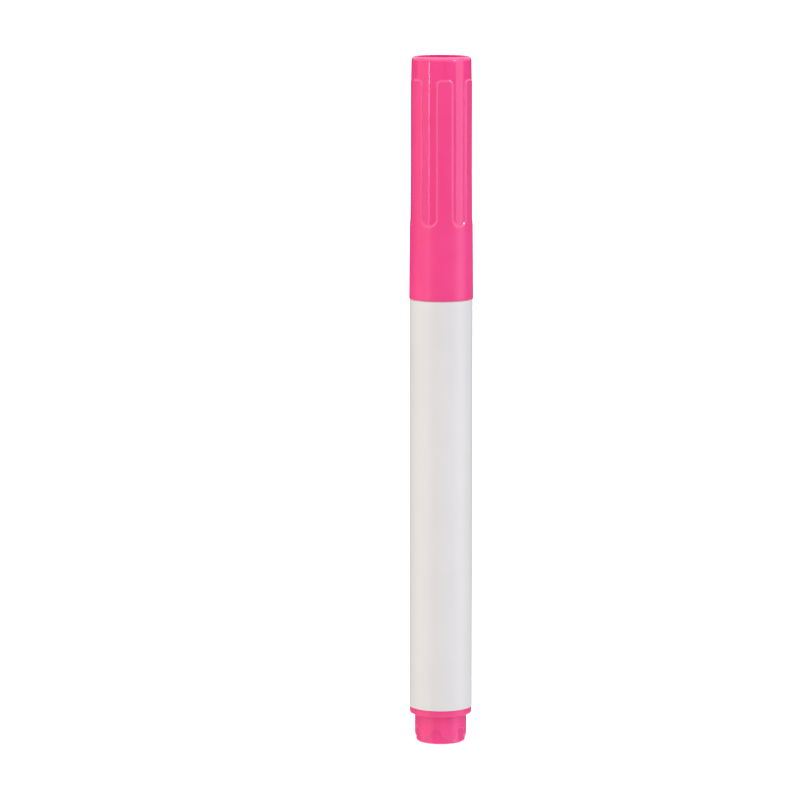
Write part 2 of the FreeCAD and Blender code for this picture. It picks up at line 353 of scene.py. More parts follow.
class Effects:
    """Shader node groups that more than one finish uses, each built once.

    A stretch draws a pattern out along the pen, a fineness is a layer's scale against the effect's own, and
    a range is where a mask changes from nothing to all.
    """

    FLOW_STRETCH = (1.0, 1.0, 0.12)
    FLOW_FINENESS = 4.0
    BROAD_SHARE = 0.65
    MOTTLE_RANGE = (0.3, 0.7)
    PIT_SHARE = 0.6
    GRIT_FINENESS = 1.7
    SCRATCH_STRETCH = (1.0, 1.0, 0.05)
    SCRATCH_FINENESS = 6.0
    SCRATCH_HALF_WIDTH = 0.012
    HANDLED_FINENESS = 0.6
    HANDLED_RANGE = (0.55, 0.68)
    SPECK_RANGE = (0.012, 0.03)
    SPECK_LEAST_DRAW = 0.6
    BUNDLE_STRETCH = (1.0, 1.0, 0.03)
    HAIR_STRETCH = (1.0, 1.0, 0.06)
    HAIR_FINENESS = 3.1
    BUNDLE_SHARE = 0.5
    SHADE_RANGE = (0.36, 0.62)

    def __init__(self) -> None:
        """Builds the groups."""
        self.mottle = self._mottle()
        self.grain = self._grain()
        self.scuffs = self._scuffs()
        self.strands = self._strands()

    @classmethod
    def _mottle(cls) -> bpy.types.NodeTree:
        """Cloudy variation, as pigment and flow leave in a moulding.

        Returns:
            A group with a Factor output from 0 to 1.
        """
        group = GroupGraph("mottle", "ShaderNodeTree")
        vector = group.input("Vector", "NodeSocketVector")
        scale = group.input("Scale")
        broad = group.noise(vector, scale, 3.0, 0.55)
        flow_scale = group.math("MULTIPLY", scale, cls.FLOW_FINENESS)
        flow = group.noise(group.stretched(vector, cls.FLOW_STRETCH), flow_scale, 2.0)
        mixed = group.layered(broad, flow, cls.BROAD_SHARE)
        group.output("Factor", group.remap(mixed, *cls.MOTTLE_RANGE, 0.0, 1.0, smooth=True))
        return group.tree

    @classmethod
    def _grain(cls) -> bpy.types.NodeTree:
        """Fine spark-eroded grain of a matt mould surface.

        Returns:
            A group with a Height output from 0 to 1.
        """
        group = GroupGraph("grain", "ShaderNodeTree")
        vector = group.input("Vector", "NodeSocketVector")
        scale = group.input("Scale")
        pits = group.add("ShaderNodeTexVoronoi", feature="SMOOTH_F1")
        group.feed(pits.inputs["Vector"], vector)
        group.feed(pits.inputs["Scale"], scale)
        grit = group.noise(vector, group.math("MULTIPLY", scale, cls.GRIT_FINENESS), 3.0, 0.6)
        group.output("Height", group.layered(pits.outputs["Distance"], grit, cls.PIT_SHARE))
        return group.tree

    @classmethod
    def _scuffs(cls) -> bpy.types.NodeTree:
        """Sparse hairline handling marks along the pen, with a few specks of dust.

        Returns:
            A group with Lines and Specks masks.
        """
        group = GroupGraph("scuffs", "ShaderNodeTree")
        vector = group.input("Vector", "NodeSocketVector")
        scale = group.input("Scale")
        scratch_scale = group.math("MULTIPLY", scale, cls.SCRATCH_FINENESS)
        along = group.noise(group.stretched(vector, cls.SCRATCH_STRETCH), scratch_scale, 1.0)
        ridge = group.math("ABSOLUTE", group.math("SUBTRACT", along, 0.5))
        line = group.remap(ridge, 0.0, cls.SCRATCH_HALF_WIDTH, 1.0, 0.0, smooth=True)
        patches = group.noise(vector, group.math("MULTIPLY", scale, cls.HANDLED_FINENESS), 2.0)
        handled = group.remap(patches, *cls.HANDLED_RANGE, 0.0, 1.0, smooth=True)
        group.output("Lines", group.math("MULTIPLY", line, handled))
        spots = group.add("ShaderNodeTexVoronoi")
        group.feed(spots.inputs["Vector"], vector)
        group.feed(spots.inputs["Scale"], scale)
        dot = group.remap(spots.outputs["Distance"], *cls.SPECK_RANGE, 1.0, 0.0, smooth=True)
        draw = group.add("ShaderNodeSeparateColor")
        group.feed(draw.inputs[0], spots.outputs["Color"])
        chosen = group.math("GREATER_THAN", draw.outputs[0], cls.SPECK_LEAST_DRAW)
        group.output("Specks", group.math("MULTIPLY", dot, chosen))
        return group.tree

    @classmethod
    def _strands(cls) -> bpy.types.NodeTree:
        """Parallel fibres that run along Z.

        Returns:
            A group with a Height output and a Shade mask, both from 0 to 1.
        """
        group = GroupGraph("strands", "ShaderNodeTree")
        vector = group.input("Vector", "NodeSocketVector")
        scale = group.input("Scale")
        bundles = group.noise(group.stretched(vector, cls.BUNDLE_STRETCH), scale, 2.0, 0.6)
        hair_scale = group.math("MULTIPLY", scale, cls.HAIR_FINENESS)
        hairs = group.noise(group.stretched(vector, cls.HAIR_STRETCH), hair_scale, 2.0)
        height = group.layered(bundles, hairs, cls.BUNDLE_SHARE)
        group.output("Height", height)
        group.output("Shade", group.remap(height, *cls.SHADE_RANGE, 0.0, 1.0, smooth=True))
        return group.tree


@dataclass(frozen=True)
class Painter:
    """Starts a material: its graph, its Principled shader and the shared effects."""

    effects: Effects

    def start(self, name: str) -> tuple[Graph, bpy.types.Node, bpy.types.NodeSocket]:
        """Makes an empty node material.

        Args:
            name: The material's name.

        Returns:
            The graph, the Principled node, and the Object coordinates' socket.
        """
        material = bpy.data.materials.new(name)
        material.use_nodes = True
        graph = Graph(material.node_tree)
        graph.tree.nodes.clear()
        shader = graph.add("ShaderNodeBsdfPrincipled")
        output = graph.add("ShaderNodeOutputMaterial")
        graph.feed(output.inputs["Surface"], shader.outputs[0])
        coordinates = graph.add("ShaderNodeTexCoord").outputs["Object"]
        return graph, shader, coordinates

    def effect(self, graph: Graph, group: bpy.types.NodeTree, vector: object, scale: float) -> bpy.types.Node:
        """Places one of the shared effects.

        Args:
            graph: The material's graph.
            group: The effect.
            vector: The coordinates it reads.
            scale: Its features per metre.

        Returns:
            The group node.
        """
        node = graph.add("ShaderNodeGroup", node_tree=group)
        graph.feed(node.inputs["Vector"], vector)
        graph.feed(node.inputs["Scale"], scale)
        return node


# ---------------------------------------------------------------- finishes


@dataclass(frozen=True)
class MouldedPlastic:
    """Injection moulded plastic: polished where the skin attribute is 0 and fine matt where it is 1.

    The edge attribute marks convex edges, which are painted paler as a highlight with a little edge wear, and
    the crevice attribute marks the foot of a step, which is darkened as painted shade. A share is how far
    such a place takes on its own colour.
    """

    name: str
    light: Colour
    deep: Colour
    polished: float = 0.09
    matt: float = 0.34
    wear_and_highlight_lift: float = 0.26
    edge_share: float = 0.28
    least_wear_and_highlight: float = 0.7
    # How dark and how strong the painted shade at the foot of a step is.
    crevice_shade_tone: float = 0.76
    crevice_shade_share: float = 0.5
    grain_scale: float = 5200.0
    grain_depth: float = 0.006 * MM
    polished_grain: float = 0.004
    mottle_scale: float = 90.0
    mottle_roughness: float = 0.03
    scuff_scale: float = 180.0
    scuff_share: float = 0.06
    scuff_roughness: float = 0.1
    speck_share: float = 0.5
    translucency: float = 0.0
    scatter: Colour = (1.0, 0.3, 0.5)
    stain: Colour | None = None
    stain_from: float = 0.0
    stain_to: float = 1.0

    def _colour(self, graph: Graph, where: bpy.types.NodeSocket, mottle: bpy.types.NodeSocket,
                scuffs: bpy.types.Node) -> bpy.types.NodeSocket:
        """Adds the nodes of the base colour.

        Args:
            graph: The material's graph.
            where: The Object coordinates.
            mottle: The cloudy variation.
            scuffs: The handling marks' node.

        Returns:
            The colour's socket.
        """
        # The pale colour serves both the scuff wear and the painted highlight along convex edges.
        pale = tuple(channel + (1.0 - channel) * self.wear_and_highlight_lift for channel in self.light)
        dark = tuple(channel * self.crevice_shade_tone for channel in self.deep)
        colour = graph.blend(mottle, self.deep, self.light)
        if self.stain:
            height = graph.add("ShaderNodeSeparateXYZ")
            graph.feed(height.inputs[0], where)
            rise = graph.remap(height.outputs["Z"], self.stain_from, self.stain_to, 0.0, 1.0, smooth=True)
            colour = graph.blend(graph.math("MULTIPLY", rise, mottle), colour, self.stain)
        # The foot of each step is darkened as painted shade.
        crevice_shade_amount = graph.math("MULTIPLY", graph.attribute("crevice_shade"), self.crevice_shade_share)
        colour = graph.blend(crevice_shade_amount, colour, dark)
        # Convex edges are painted paler as a highlight with a little wear, more in some places than in
        # others.
        wear_and_highlight = graph.math("MULTIPLY", graph.remap(mottle, 0.0, 1.0, self.least_wear_and_highlight, 1.0), self.edge_share)
        colour = graph.blend(graph.math("MULTIPLY", graph.attribute("edge"), wear_and_highlight), colour, pale)
        lines = graph.math("MULTIPLY", scuffs.outputs["Lines"], self.scuff_share)
        specks = graph.math("MULTIPLY", scuffs.outputs["Specks"], self.speck_share)
        return graph.blend(specks, graph.blend(lines, colour, pale), dark)

    def material(self, painter: Painter) -> bpy.types.Material:
        """Builds the material.

        Args:
            painter: Where the material is started.

        Returns:
            The finished material.
        """
        graph, shader, where = painter.start(self.name)
        effects = painter.effects
        skin = graph.attribute("skin")
        mottle = painter.effect(graph, effects.mottle, where, self.mottle_scale).outputs["Factor"]
        scuffs = painter.effect(graph, effects.scuffs, where, self.scuff_scale)
        grain = painter.effect(graph, effects.grain, where, self.grain_scale).outputs["Height"]
        graph.feed(shader.inputs["Base Color"], self._colour(graph, where, mottle, scuffs))
        base = graph.remap(skin, 0.0, 1.0, self.polished, self.matt)
        worn = graph.math("MULTIPLY", scuffs.outputs["Lines"], self.scuff_roughness)
        varied = graph.math("MULTIPLY", graph.math("SUBTRACT", mottle, 0.5), self.mottle_roughness)
        rough = graph.math("ADD", graph.math("ADD", base, varied), worn, clamp=True)
        graph.feed(shader.inputs["Roughness"], rough)
        shader.inputs["Subsurface Weight"].default_value = self.translucency
        shader.inputs["Subsurface Radius"].default_value = self.scatter
        shader.inputs["Subsurface Scale"].default_value = MM
        share = graph.remap(skin, 0.0, 1.0, self.polished_grain, 1.0)
        graph.emboss(shader, graph.math("MULTIPLY", grain, share), self.grain_depth)
        return bpy.data.materials[self.name]


@dataclass(frozen=True)
class BondedFibre:
    """Bonded fibre rod, dyed by the ink."""

    name: str
    light: Colour
    deep: Colour
    strand_scale: float
    strand_depth: float = 0.02 * MM
    wet_scale: float = 220.0
    wet_share: float = 0.35
    dry_roughness: float = 0.86
    wet_roughness: float = 0.62
    fuzz: float = 0.25

    def material(self, painter: Painter) -> bpy.types.Material:
        """Builds the material.

        Args:
            painter: Where the material is started.

        Returns:
            The finished material.
        """
        graph, shader, where = painter.start(self.name)
        strands = painter.effect(graph, painter.effects.strands, where, self.strand_scale)
        wet = painter.effect(graph, painter.effects.mottle, where, self.wet_scale).outputs["Factor"]
        colour = graph.blend(strands.outputs["Shade"], self.deep, self.light)
        soaked = graph.blend(graph.math("MULTIPLY", wet, self.wet_share), colour, self.deep)
        graph.feed(shader.inputs["Base Color"], soaked)
        roughness = graph.remap(wet, 0.0, 1.0, self.dry_roughness, self.wet_roughness)
        graph.feed(shader.inputs["Roughness"], roughness)
        shader.inputs["Sheen Weight"].default_value = self.fuzz
        graph.emboss(shader, strands.outputs["Height"], self.strand_depth)
        return bpy.data.materials[self.name]


@dataclass(frozen=True)
class ClearFilm:
    """Thin clear wrap, slightly clouded."""

    name: str
    tint: Colour
    cloud_scale: float = 160.0
    clear_roughness: float = 0.08
    cloudy_roughness: float = 0.2
    transmission: float = 0.9
    refraction: float = 1.49
    ripple_scale: float = 700.0
    ripple_depth: float = 0.01 * MM

    def material(self, painter: Painter) -> bpy.types.Material:
        """Builds the material.

        Args:
            painter: Where the material is started.

        Returns:
            The finished material.
        """
        graph, shader, where = painter.start(self.name)
        cloud = painter.effect(graph, painter.effects.mottle, where, self.cloud_scale).outputs["Factor"]
        paler = tuple((1.0 + channel) / 2 for channel in self.tint)
        graph.feed(shader.inputs["Base Color"], graph.blend(cloud, self.tint, paler))
        roughness = graph.remap(cloud, 0.0, 1.0, self.clear_roughness, self.cloudy_roughness)
        graph.feed(shader.inputs["Roughness"], roughness)
        shader.inputs["Transmission Weight"].default_value = self.transmission
        shader.inputs["IOR"].default_value = self.refraction
        ripple = painter.effect(graph, painter.effects.grain, where, self.ripple_scale).outputs["Height"]
        graph.emboss(shader, ripple, self.ripple_depth)
        return bpy.data.materials[self.name]


@dataclass(frozen=True)
class StudioFloor:
    """Pale sweep under the pen, with a faint glow of its own that keeps it evenly white."""

    name: str
    tone: float = 0.92
    shade_share: float = 0.99
    cloud_scale: float = 1.5
    least_roughness: float = 0.75
    most_roughness: float = 0.85
    glow: float = 0.35

    def material(self, painter: Painter) -> bpy.types.Material:
        """Builds the material.

        Args:
            painter: Where the material is started.

        Returns:
            The finished material.
        """
        graph, shader, where = painter.start(self.name)
        cloud = painter.effect(graph, painter.effects.mottle, where, self.cloud_scale).outputs["Factor"]
        light = (self.tone,) * 3
        shade = (self.tone * self.shade_share,) * 3
        graph.feed(shader.inputs["Base Color"], graph.blend(cloud, shade, light))
        roughness = graph.remap(cloud, 0.0, 1.0, self.least_roughness, self.most_roughness)
        graph.feed(shader.inputs["Roughness"], roughness)
        shader.inputs["Emission Color"].default_value = (1.0, 1.0, 1.0, 1.0)
        shader.inputs["Emission Strength"].default_value = self.glow
        return bpy.data.materials[self.name]


# ---------------------------------------------------------------- turned shapes


@dataclass(frozen=True)
class Corner:
    """A corner of a turned profile, rounded by an arc where asked."""

    r: float
    z: float
    round: float = 0.0


@dataclass(frozen=True)
class Band:
    """A range of heights in which a turned surface has closely spaced rows."""

    low: float
    high: float
    step: float


def ring_bead(surface: float, crest: float, width: float, height: float) -> list[Corner]:
    """A rounded ring that stands out of a turned surface, or a groove sunk in it.

    Args:
        surface: Radius of the surface.
        crest: Radius of the ring's crest.
        width: Width at the surface.
        height: Height of its middle.

    Returns:
        Its corners, from low to high.
    """
    flat = width * BEAD_FLAT_SHARE
    return [Corner(surface, height - width / 2), Corner(crest, height - flat, flat),
            Corner(crest, height + flat, flat), Corner(surface, height + width / 2)]


@dataclass
class Profile:
    """A closed outline in radius and height that is turned about Z."""

    corners: Sequence[Corner]
    step: float = 1.5 * MM
    bands: Sequence[Band] = ()
    arc_steps: int = 8
    # Convex arcs no rounder than this get the full paler edge, a painted highlight with a little wear.
    wear_and_highlight_round: float = 0.3 * MM

    def _outline(self) -> list[tuple[Vector, float]]:
        """Corner points with the rounded ones replaced by arc points.

        Returns:
            The outline's points in order, each with its share of a convex edge's paler colour, a painted
            highlight with a little wear.
        """
        count = len(self.corners)
        spots = [Vector((corner.r, corner.z)) for corner in self.corners]
        spin = math.copysign(1.0, sum(a.cross(b) for a, b in zip(spots, spots[1:] + spots[:1])))
        points = []
        for index, corner in enumerate(self.corners):
            spot = spots[index]
            if not corner.round:
                points.append((spot, 0.0))
                continue
            back = (spots[index - 1] - spot).normalized()
            ahead = (spots[(index + 1) % count] - spot).normalized()
            half = back.angle(ahead) / 2
            centre = spot + (back + ahead).normalized() * (corner.round / math.sin(half))
            start = spot + back * (corner.round / math.tan(half)) - centre
            end = spot + ahead * (corner.round / math.tan(half)) - centre
            sweep = start.angle(end)
            convex = ahead.cross(back) * spin > 0
            wear_and_highlight = min(1.0, self.wear_and_highlight_round / corner.round) if convex else 0.0
            for stage in range(self.arc_steps + 1):
                share = stage / self.arc_steps
                turn = start * math.sin((1 - share) * sweep) + end * math.sin(share * sweep)
                points.append((centre + turn / math.sin(sweep), wear_and_highlight * math.sin(math.pi * share)))
        return points

    def _cuts(self, start: Vector, end: Vector) -> list[float]:
        """Where one straight stretch is divided.

        Args:
            start: Its first point.
            end: Its last point.

        Returns:
            Shares along it, the first one 0 and all below 1.
        """
        length = (end - start).length
        shares = set(np.linspace(0, 1, max(1, round(length / self.step)), endpoint=False))
        rise = end.y - start.y
        for band in self.bands:
            if abs(rise) < band.step:
                continue
            first, last = sorted(((band.low - start.y) / rise, (band.high - start.y) / rise))
            first, last = max(0.0, first), min(1.0, last)
            if last <= first:
                continue
            number = max(1, round(abs(rise) * (last - first) / band.step))
            shares = {share for share in shares if not first < share < last}
            shares |= set(np.linspace(first, last, number + 1))
        kept = []
        for share in sorted(shares):
            if share < 1 - SAME_SHARE and (not kept or (share - kept[-1]) * length > LEAST_ROW_GAP):
                kept.append(float(share))
        return kept or [0.0]

    def rows(self) -> list[tuple[float, float, float]]:
        """The radius, height and pale edge share (painted highlight with a little wear) of every row of the
        turned mesh.

        Returns:
            The rows in order round the outline.
        """
        points = self._outline()
        rows = []
        for index, (point, wear_and_highlight) in enumerate(points):
            following, next_wear_and_highlight = points[(index + 1) % len(points)]
            if (following - point).length < SAME_SPOT:
                continue
            for share in self._cuts(point, following):
                spot = point.lerp(following, share)
                rows.append((max(0.0, spot.x), spot.y, wear_and_highlight + (next_wear_and_highlight - wear_and_highlight) * share))
        return rows

    def mesh(self, name: str, columns: int) -> bpy.types.Mesh:
        """Turns the outline about Z.

        Args:
            name: The mesh's name.
            columns: Number of points round each row.

        Returns:
            A closed mesh whose faces point outwards.
        """
        rows = self.rows()
        on_axis = [r < ON_AXIS for r, _, _ in rows]
        turns = np.linspace(0, 2 * math.pi, columns, endpoint=False)
        ring = np.stack([np.sin(turns), -np.cos(turns)], axis=1)
        points, wear_and_highlight_shares, starts = [], [], []
        for (r, z, wear_and_highlight), single in zip(rows, on_axis):
            starts.append(len(points))
            if single:
                points.append((0.0, 0.0, z))
            else:
                points.extend((r * x, r * y, z) for x, y in ring)
            wear_and_highlight_shares.extend([wear_and_highlight] * (len(points) - len(wear_and_highlight_shares)))
        faces = []
        for index, start in enumerate(starts):
            following = (index + 1) % len(rows)
            other = starts[following]
            if on_axis[index] and on_axis[following]:
                continue
            for column in range(columns):
                beside = (column + 1) % columns
                if on_axis[index]:
                    faces.append((start, other + beside, other + column))
                elif on_axis[following]:
                    faces.append((start + column, start + beside, other))
                else:
                    faces.append((start + column, start + beside, other + beside, other + column))
        area = sum(a[0] * b[1] - b[0] * a[1] for a, b in zip(rows, rows[1:] + rows[:1]))
        if area < 0:
            faces = [face[::-1] for face in faces]
        mesh = bpy.data.meshes.new(name)
        mesh.from_pydata(points, [], faces)
        mesh.attributes.new("edge", "FLOAT", "POINT").data.foreach_set("value", wear_and_highlight_shares)
        return mesh


# ---------------------------------------------------------------- repeated relief


class RadialTree:
    """A geometry node tree that moves the points of a turned mesh in or out by a repeated rule."""

    def __init__(self, name: str) -> None:
        """Starts the tree with the inputs and fields that every such rule needs.

        Args:
            name: The tree's name.
        """
        self.group = GroupGraph(name, "GeometryNodeTree")
        self.geometry = self.group.input("Geometry", "NodeSocketGeometry")
        self.count = self.group.input("Count")
        self.phase = self.group.input("Phase")
        self.width = self.group.input("Width")
        position = self.group.add("GeometryNodeInputPosition")
        parts = self.group.add("ShaderNodeSeparateXYZ")
        self.group.feed(parts.inputs[0], position.outputs[0])
        self.x, self.y, self.z = parts.outputs
        math_of = self.group.math
        squares = math_of("ADD", math_of("MULTIPLY", self.x, self.x), math_of("MULTIPLY", self.y, self.y))
        self.r = math_of("SQRT", squares)
        turn = math_of("ARCTAN2", self.x, math_of("MULTIPLY", self.y, -1.0))
        pitch = math_of("DIVIDE", 2 * math.pi, self.count)
        half = math_of("DIVIDE", pitch, 2.0)
        sector = math_of("WRAP", math_of("SUBTRACT", turn, self.phase), half, math_of("MULTIPLY", half, -1.0))
        self.across = math_of("ABSOLUTE", math_of("MULTIPLY", self.r, math_of("SINE", sector)))

    def close(self, new_r: bpy.types.NodeSocket,
              masks: dict[str, bpy.types.NodeSocket] | None = None) -> None:
        """Moves the points to their new radius and ends the tree.

        Args:
            new_r: The radius each point moves to.
            masks: Values to keep on the points for the material, by attribute name.
        """
        group = self.group
        factor = group.math("DIVIDE", new_r, group.math("MAXIMUM", self.r, LEAST_R))
        place = group.add("ShaderNodeCombineXYZ")
        group.feed(place.inputs[0], group.math("MULTIPLY", self.x, factor))
        group.feed(place.inputs[1], group.math("MULTIPLY", self.y, factor))
        group.feed(place.inputs[2], self.z)
        flow = self.geometry
        for name, mask in (masks or {}).items():
            store = group.add("GeometryNodeStoreNamedAttribute", data_type="FLOAT", domain="POINT")
            store.inputs["Name"].default_value = name
            group.feed(store.inputs["Geometry"], flow)
            group.feed(store.inputs["Value"], mask)
            flow = store.outputs[0]
        moved = group.add("GeometryNodeSetPosition")
        group.feed(moved.inputs["Geometry"], flow)
        group.feed(moved.inputs["Position"], place.outputs[0])
        whole = group.add("GeometryNodeRealizeInstances")
        group.feed(whole.inputs[0], moved.outputs[0])
        finish = group.add("GeometryNodeSetMaterial")
        group.feed(finish.inputs["Geometry"], whole.outputs[0])
        group.feed(finish.inputs["Material"], group.input("Material", "NodeSocketMaterial"))
        group.output("Geometry", finish.outputs[0], "NodeSocketGeometry")

    def apply(self, piece: bpy.types.Object, material: bpy.types.Material, values: dict[str, float]) -> None:
        """Puts the rule on a piece and turns the result into its plain mesh.

        Args:
            piece: The object that is changed.
            material: The material of the result.
            values: The tree's inputs by name.
        """
        modifier = piece.modifiers.new("relief", "NODES")
        modifier.node_group = self.group.tree
        named = {**values, "Material": material}
        for item in self.group.tree.interface.items_tree:
            if item.in_out == "INPUT" and item.name in named:
                modifier[item.identifier] = named[item.name]
        graph = bpy.context.evaluated_depsgraph_get()
        shaped = bpy.data.meshes.new_from_object(piece.evaluated_get(graph), preserve_all_data_layers=True,
                                                 depsgraph=graph)
        piece.modifiers.clear()
        piece.data = shaped


class SlotTree(RadialTree):
    """Round-ended slots sunk in an outer skin, with a soft wall all round them."""

    def __init__(self) -> None:
        """Builds the rule: distance to the slot's edge, then a soft step down to the floor."""
        super().__init__("sunk_slots")
        group, m = self.group, self.group.math
        closed_end, open_end = group.input("Closed End"), group.input("Open End")
        corner, softness = group.input("Corner Radius"), group.input("Softness")
        direction, least = group.input("Direction"), group.input("Least Radius")
        floor = group.remap(self.z, group.input("Floor Low Z"), group.input("Floor High Z"),
                            group.input("Floor Low R"), group.input("Floor High R"), clamp=False)
        v = m("MULTIPLY", self.z, direction)
        half = m("DIVIDE", self.width, 2.0)
        centre = m("ADD", m("MULTIPLY", closed_end, direction), half)
        short = m("MAXIMUM", m("SUBTRACT", centre, v), 0.0)
        reach = m("SQRT", m("ADD", m("MULTIPLY", self.across, self.across), m("MULTIPLY", short, short)))
        beside = m("SUBTRACT", reach, half)
        below = m("SUBTRACT", m("MULTIPLY", open_end, direction), v)
        qx, qy = m("SUBTRACT", corner, beside), m("SUBTRACT", corner, below)
        px, py = m("MAXIMUM", qx, 0.0), m("MAXIMUM", qy, 0.0)
        outside = m("SQRT", m("ADD", m("MULTIPLY", px, px), m("MULTIPLY", py, py)))
        inside = m("MINIMUM", m("MAXIMUM", qx, qy), 0.0)
        depth = m("SUBTRACT", corner, m("ADD", outside, inside))
        skin = group.remap(depth, m("MULTIPLY", softness, -1.0), softness, 0.0, 1.0, smooth=True)
        target = m("ADD", floor, m("MULTIPLY", m("SUBTRACT", self.r, floor), skin))
        acts = m("GREATER_THAN", self.r, least)
        lowered = m("MINIMUM", self.r, target)
        new_r = m("ADD", self.r, m("MULTIPLY", acts, m("SUBTRACT", lowered, self.r)))
        left = m("SUBTRACT", 1.0, skin)
        # The middle of each wall is painted paler as a highlight, and its foot darker as painted shade.
        peak = m("MULTIPLY", m("MULTIPLY", skin, left), m("MULTIPLY", acts, MASK_SCALE))
        turned = group.add("GeometryNodeInputNamedAttribute", data_type="FLOAT")
        turned.inputs["Name"].default_value = "edge"
        edge = m("MAXIMUM", turned.outputs["Attribute"], m("MULTIPLY", peak, skin))
        masks = {"skin": m("MULTIPLY", skin, acts), "edge": edge, "crevice_shade": m("MULTIPLY", peak, left)}
        self.close(new_r, masks)


class BarTree(RadialTree):
    """Upright bars on an inner wall, or slots sunk in it.

    The points of each bar, between two heights, move to a crest radius.
    """

    def __init__(self) -> None:
        """Builds the rule: a share across the bar times a share along it."""
        super().__init__("upright_bars")
        group, m = self.group, self.group.math
        low, high = group.input("Low"), group.input("High")
        crest, most, edge = group.input("Crest Radius"), group.input("Most Radius"), group.input("Edge")
        half = m("DIVIDE", self.width, 2.0)
        over = group.remap(self.across, half, m("ADD", half, edge), 1.0, 0.0)
        above = group.remap(self.z, m("SUBTRACT", low, edge), low, 0.0, 1.0)
        under = group.remap(self.z, high, m("ADD", high, edge), 1.0, 0.0)
        share = m("MULTIPLY", over, m("MULTIPLY", above, under))
        acts = m("MULTIPLY", share, m("LESS_THAN", self.r, most))
        self.close(m("ADD", self.r, m("MULTIPLY", acts, m("SUBTRACT", crest, self.r))))


class StrandTree(RadialTree):
    """Fine lengthwise ridges of a fibre rod."""

    STRETCH = 0.05

    def __init__(self) -> None:
        """Builds the rule: noise drawn out along Z moves the outer points in and out."""
        super().__init__("fibre_ridges")
        group, m = self.group, self.group.math
        depth, least = group.input("Depth"), group.input("Least Radius")
        drawn = group.add("ShaderNodeCombineXYZ")
        group.feed(drawn.inputs[0], self.x)
        group.feed(drawn.inputs[1], self.y)
        group.feed(drawn.inputs[2], m("MULTIPLY", self.z, self.STRETCH))
        ridges = group.noise(drawn.outputs[0], m("DIVIDE", 1.0, self.width), 2.0)
        sunk = m("MULTIPLY", m("SUBTRACT", 1.0, ridges), depth)
        acts = m("GREATER_THAN", self.r, least)
        self.close(m("SUBTRACT", self.r, m("MULTIPLY", sunk, acts)))


@dataclass(frozen=True)
class Workshop:
    """What every sub-assembly is built with: the relief trees and the painter."""

    slots: SlotTree
    bars: BarTree
    strands: StrandTree
    painter: Painter


def new_piece(name: str, mesh: bpy.types.Mesh, material: bpy.types.Material) -> bpy.types.Object:
    """Links a new piece to the scene.

    Args:
        name: The piece's name.
        mesh: Its mesh, already in place.
        material: Its material.

    Returns:
        The object.
    """
    piece = bpy.data.objects.new(name, mesh)
    bpy.context.scene.collection.objects.link(piece)
    mesh.materials.append(material)
    return piece


def turned_piece(name: str, profile: Profile, columns: int, material: bpy.types.Material
                 ) -> bpy.types.Object:
    """Turns a profile and links the result to the scene.

    Args:
        name: The piece's name.
        profile: Its outline.
        columns: Number of points round each row.
        material: Its material.

    Returns:
        The object.
    """
    return new_piece(name, profile.mesh(name, columns), material)


def finish_piece(piece: bpy.types.Object, node: str, body: Body) -> None:
    """Shades a piece and joins it to the frame in place of its CAD node.

    Args:
        piece: The piece.
        node: The CAD node it stands for.
        body: The body it rides on.
    """
    piece.data.shade_smooth()
    piece.data.set_sharp_from_angle(angle=SHARP_ANGLE)
    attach(piece, body.value)
    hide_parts(node)
    LOG.info("%s: %d faces for %s on %s", piece.name, len(piece.data.polygons), node, body.value)


# ---------------------------------------------------------------- sub-assemblies


